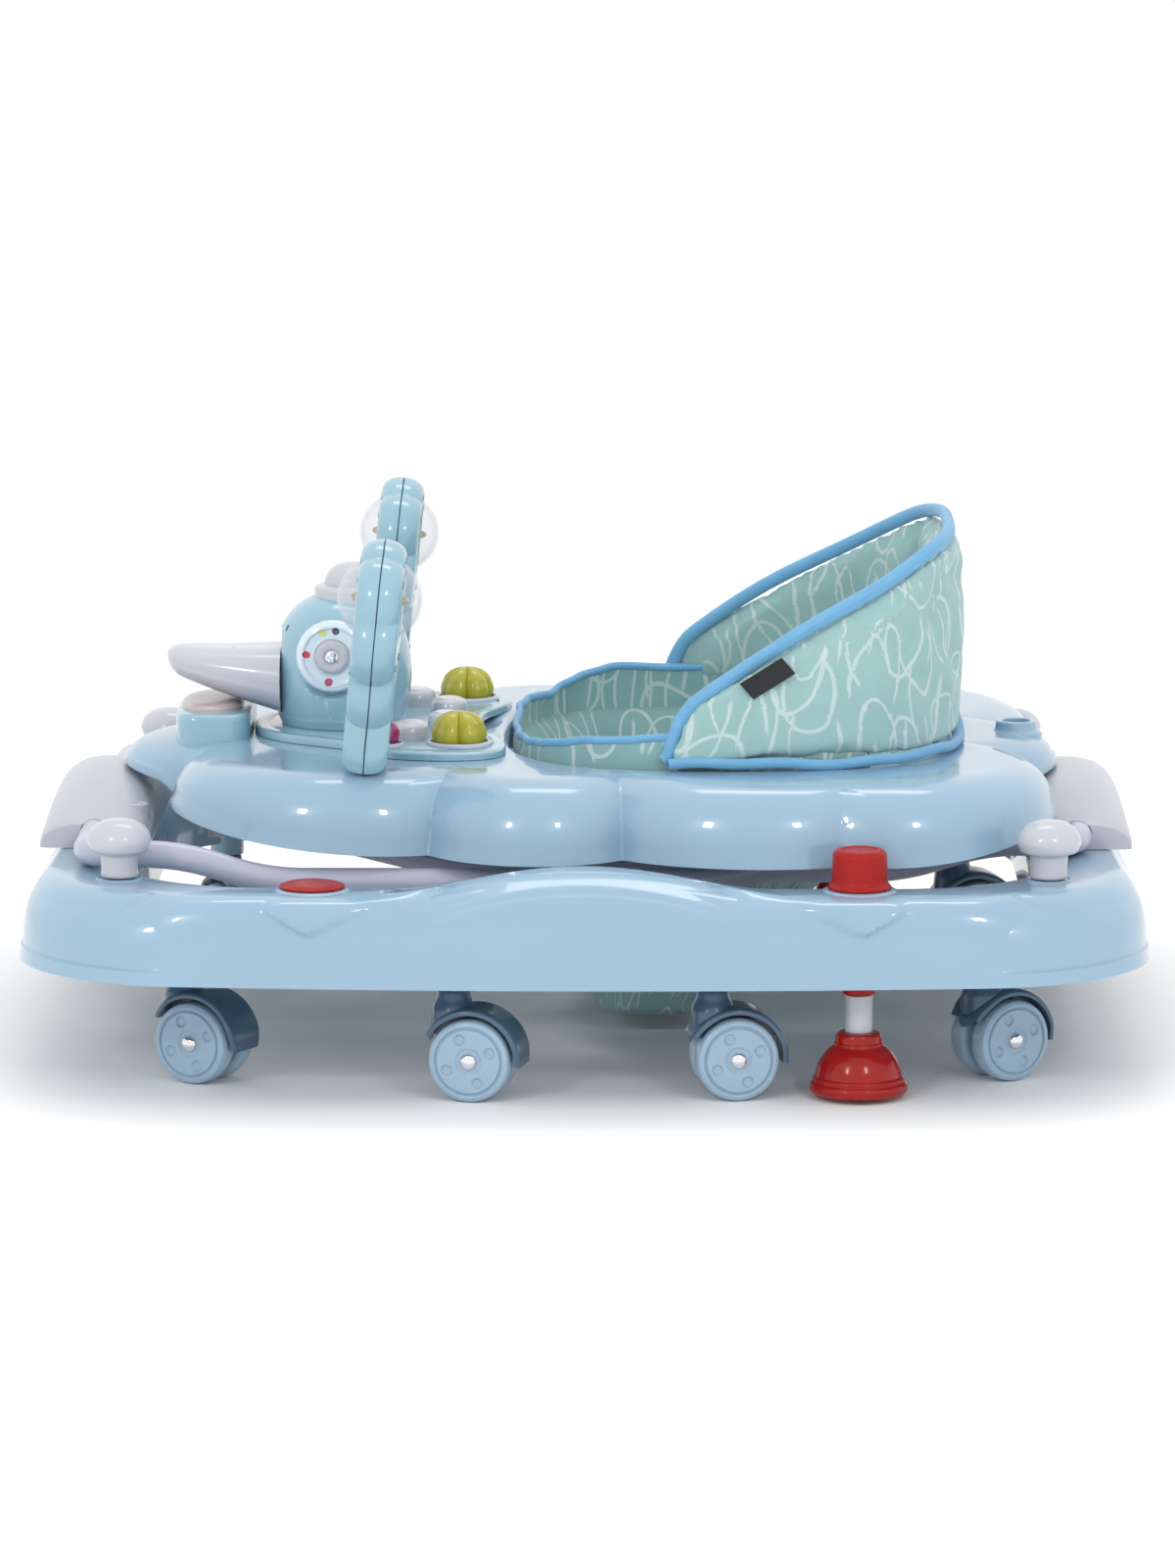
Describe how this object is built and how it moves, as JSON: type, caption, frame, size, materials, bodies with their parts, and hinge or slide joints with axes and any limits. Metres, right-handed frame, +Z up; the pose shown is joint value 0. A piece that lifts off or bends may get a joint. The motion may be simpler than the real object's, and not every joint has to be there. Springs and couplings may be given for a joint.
{
  "type": "baby walker",
  "caption": "Folding baby walker, folded flat: rolling base ring with twin-wheel casters, crossed tubes, cloud-shaped tray, fabric seat and a duck toy console.",
  "frame": {"origin": "on the floor under the middle of the base ring", "axes": "+X to the rear (seat back), -X to the front (toy console), +Z up"},
  "size_m": [0.698, 0.61, 0.331],
  "materials": {
    "blue_plastic": "gloss moulded shell",
    "aqua_plastic": "gloss moulded toy parts",
    "white_plastic": "gloss",
    "tube_paint": "powder coated steel tube",
    "red_plastic": "gloss",
    "slate_plastic": "satin",
    "wheel_plastic": "satin hard plastic",
    "yellow_plastic": "gloss",
    "magenta_plastic": "gloss",
    "seat_fabric": "woven polyester with looping print and piping",
    "clear_plastic": "clear polycarbonate",
    "print_disc": "printed card"
  },
  "bodies": {
    "base": {"base_frame": "blue_plastic", "front_clamp_cover": "white_plastic", "rear_clamp_cover": "white_plastic", "near_front_corner_knob": "white_plastic", "near_rear_corner_knob": "white_plastic", "near_rail_plug": "red_plastic", "far_front_corner_knob": "white_plastic", "far_rear_corner_knob": "white_plastic", "far_rail_plug": "red_plastic"},
    "near_stopper": {"near_stopper_cap": "red_plastic", "near_stopper_foot": "red_plastic"},
    "far_stopper": {"far_stopper_cap": "red_plastic", "far_stopper_foot": "red_plastic"},
    "front_tube": {"front_tube": "tube_paint"},
    "rear_tube": {"rear_tube": "tube_paint"},
    "tray": {"tray_shell": "blue_plastic", "near_slide_bracket": "white_plastic", "near_pivot_bracket": "white_plastic", "far_slide_bracket": "white_plastic", "far_pivot_bracket": "white_plastic", "seat_back_pad": "seat_fabric", "seat_sling": "seat_fabric", "console_plate": "aqua_plastic", "duck_head": "aqua_plastic", "duck_beak": "white_plastic", "duck_hat": "white_plastic", "near_eye_hub": "white_plastic", "near_cloud_arm": "aqua_plastic", "far_eye_hub": "white_plastic", "far_cloud_arm": "aqua_plastic"},
    "near_eye_spinner": {"near_eye_spinner": "clear_plastic"},
    "near_globe": {"near_globe": "clear_plastic", "near_globe_disc": "print_disc"},
    "near_flower_knob": {"near_flower_knob": "yellow_plastic"},
    "far_eye_spinner": {"far_eye_spinner": "clear_plastic"},
    "far_globe": {"far_globe": "clear_plastic", "far_globe_disc": "print_disc"},
    "far_flower_knob": {"far_flower_knob": "yellow_plastic"},
    "toy_ball": {"toy_ball": "magenta_plastic"},
    "press_key_1": {"press_key_1": "white_plastic"},
    "press_key_2": {"press_key_2": "white_plastic"},
    "press_key_3": {"press_key_3": "white_plastic"},
    "press_key_4": {"press_key_4": "white_plastic"},
    "near_front_outer_fork": {"near_front_outer_caster_fork": "slate_plastic"},
    "near_front_outer_wheels": {"near_front_outer_caster_wheels": "wheel_plastic"},
    "near_front_inner_fork": {"near_front_inner_caster_fork": "slate_plastic"},
    "near_front_inner_wheels": {"near_front_inner_caster_wheels": "wheel_plastic"},
    "near_rear_inner_fork": {"near_rear_inner_caster_fork": "slate_plastic"},
    "near_rear_inner_wheels": {"near_rear_inner_caster_wheels": "wheel_plastic"},
    "near_rear_outer_fork": {"near_rear_outer_caster_fork": "slate_plastic"},
    "near_rear_outer_wheels": {"near_rear_outer_caster_wheels": "wheel_plastic"},
    "far_front_outer_fork": {"far_front_outer_caster_fork": "slate_plastic"},
    "far_front_outer_wheels": {"far_front_outer_caster_wheels": "wheel_plastic"},
    "far_front_inner_fork": {"far_front_inner_caster_fork": "slate_plastic"},
    "far_front_inner_wheels": {"far_front_inner_caster_wheels": "wheel_plastic"},
    "far_rear_inner_fork": {"far_rear_inner_caster_fork": "slate_plastic"},
    "far_rear_inner_wheels": {"far_rear_inner_caster_wheels": "wheel_plastic"},
    "far_rear_outer_fork": {"far_rear_outer_caster_fork": "slate_plastic"},
    "far_rear_outer_wheels": {"far_rear_outer_caster_wheels": "wheel_plastic"}
  },
  "joints": [
    {"name": "fold", "type": "hinge", "parent": "base", "child": "front_tube", "pos_m": [-0.309, 0, 0.138], "axis": [0, -1, 0], "range_deg": [0, 20]},
    {"name": "rear_tube_fold", "type": "hinge", "parent": "base", "child": "rear_tube", "pos_m": [0.309, 0, 0.138], "axis": [0, 1, 0], "range_deg": [0, 20]},
    {"name": "tray_level", "type": "hinge", "parent": "front_tube", "child": "tray", "pos_m": [0.225, 0, 0.15], "axis": [0, 1, 0], "range_deg": [0, 20]},
    {"name": "near_front_outer_swivel", "type": "hinge", "parent": "base", "child": "near_front_outer_fork", "pos_m": [-0.246, -0.212, 0.08], "axis": [0, 0, 1], "continuous": true},
    {"name": "near_front_outer_roll", "type": "hinge", "parent": "near_front_outer_fork", "child": "near_front_outer_wheels", "pos_m": [-0.23463, -0.2183, 0.0255], "axis": [0.4848, 0.8746, 0], "continuous": true},
    {"name": "near_front_inner_swivel", "type": "hinge", "parent": "base", "child": "near_front_inner_fork", "pos_m": [-0.079, -0.268, 0.08], "axis": [0, 0, 1], "continuous": true},
    {"name": "near_front_inner_roll", "type": "hinge", "parent": "near_front_inner_fork", "child": "near_front_inner_wheels", "pos_m": [-0.06628, -0.2707, 0.0255], "axis": [0.2079, 0.9781, 0], "continuous": true},
    {"name": "near_rear_inner_swivel", "type": "hinge", "parent": "base", "child": "near_rear_inner_fork", "pos_m": [0.079, -0.268, 0.08], "axis": [0, 0, 1], "continuous": true},
    {"name": "near_rear_inner_roll", "type": "hinge", "parent": "near_rear_inner_fork", "child": "near_rear_inner_wheels", "pos_m": [0.0918, -0.26574, 0.0255], "axis": [-0.1736, 0.9848, 0], "continuous": true},
    {"name": "near_rear_outer_swivel", "type": "hinge", "parent": "base", "child": "near_rear_outer_fork", "pos_m": [0.246, -0.212, 0.08], "axis": [0, 0, 1], "continuous": true},
    {"name": "near_rear_outer_roll", "type": "hinge", "parent": "near_rear_outer_fork", "child": "near_rear_outer_wheels", "pos_m": [0.2569, -0.20492, 0.0255], "axis": [-0.5446, 0.8387, 0], "continuous": true},
    {"name": "far_front_outer_swivel", "type": "hinge", "parent": "base", "child": "far_front_outer_fork", "pos_m": [-0.246, 0.212, 0.08], "axis": [0, 0, 1], "continuous": true},
    {"name": "far_front_outer_roll", "type": "hinge", "parent": "far_front_outer_fork", "child": "far_front_outer_wheels", "pos_m": [-0.23854, 0.20135, 0.0255], "axis": [0.8192, 0.5736, 0], "continuous": true},
    {"name": "far_front_inner_swivel", "type": "hinge", "parent": "base", "child": "far_front_inner_fork", "pos_m": [-0.079, 0.268, 0.08], "axis": [0, 0, 1], "continuous": true},
    {"name": "far_front_inner_roll", "type": "hinge", "parent": "far_front_inner_fork", "child": "far_front_inner_wheels", "pos_m": [-0.06678, 0.26355, 0.0255], "axis": [0.342, 0.9397, 0], "continuous": true},
    {"name": "far_rear_inner_swivel", "type": "hinge", "parent": "base", "child": "far_rear_inner_fork", "pos_m": [0.079, 0.268, 0.08], "axis": [0, 0, 1], "continuous": true},
    {"name": "far_rear_inner_roll", "type": "hinge", "parent": "far_rear_inner_fork", "child": "far_rear_inner_wheels", "pos_m": [0.09136, 0.27202, 0.0255], "axis": [-0.309, 0.9511, 0], "continuous": true},
    {"name": "far_rear_outer_swivel", "type": "hinge", "parent": "base", "child": "far_rear_outer_fork", "pos_m": [0.246, 0.212, 0.08], "axis": [0, 0, 1], "continuous": true},
    {"name": "far_rear_outer_roll", "type": "hinge", "parent": "far_rear_outer_fork", "child": "far_rear_outer_wheels", "pos_m": [0.25872, 0.2147, 0.0255], "axis": [-0.2079, 0.9781, 0], "continuous": true},
    {"name": "near_stopper_slide", "type": "slide", "parent": "base", "child": "near_stopper", "axis": [0, 0, 1], "range_m": [0, 0.018]},
    {"name": "near_eye_spin", "type": "hinge", "parent": "tray", "child": "near_eye_spinner", "pos_m": [-0.162, -0.047, 0.24], "axis": [0, 1, 0], "continuous": true},
    {"name": "near_globe_spin", "type": "hinge", "parent": "tray", "child": "near_globe", "pos_m": [-0.12674, -0.165, 0.29281], "axis": [0, 1, 0], "continuous": true},
    {"name": "near_flower_turn", "type": "hinge", "parent": "tray", "child": "near_flower_knob", "pos_m": [-0.08, -0.097, 0.192], "axis": [0, 0, 1], "continuous": true},
    {"name": "far_stopper_slide", "type": "slide", "parent": "base", "child": "far_stopper", "axis": [0, 0, 1], "range_m": [0, 0.018]},
    {"name": "far_eye_spin", "type": "hinge", "parent": "tray", "child": "far_eye_spinner", "pos_m": [-0.162, 0.047, 0.24], "axis": [0, 1, 0], "continuous": true},
    {"name": "far_globe_spin", "type": "hinge", "parent": "tray", "child": "far_globe", "pos_m": [-0.12674, 0.165, 0.29281], "axis": [0, 1, 0], "continuous": true},
    {"name": "far_flower_turn", "type": "hinge", "parent": "tray", "child": "far_flower_knob", "pos_m": [-0.08, 0.097, 0.192], "axis": [0, 0, 1], "continuous": true},
    {"name": "toy_ball_turn", "type": "hinge", "parent": "tray", "child": "toy_ball", "pos_m": [-0.127, -0.104, 0.195], "axis": [0, 0, 1], "continuous": true},
    {"name": "key_1_press", "type": "slide", "parent": "tray", "child": "press_key_1", "axis": [0, 0, -1], "range_m": [0, 0.002], "stiffness_N_per_m": 250, "springref_m": -0.002},
    {"name": "key_2_press", "type": "slide", "parent": "tray", "child": "press_key_2", "axis": [0, 0, -1], "range_m": [0, 0.002], "stiffness_N_per_m": 250, "springref_m": -0.002},
    {"name": "key_3_press", "type": "slide", "parent": "tray", "child": "press_key_3", "axis": [0, 0, -1], "range_m": [0, 0.002], "stiffness_N_per_m": 250, "springref_m": -0.002},
    {"name": "key_4_press", "type": "slide", "parent": "tray", "child": "press_key_4", "axis": [0, 0, -1], "range_m": [0, 0.002], "stiffness_N_per_m": 250, "springref_m": -0.002}
  ],
  "couplings": [
    {"joint": "rear_tube_fold", "follows": "fold", "ratio": 1},
    {"joint": "tray_level", "follows": "fold", "ratio": 1}
  ]
}
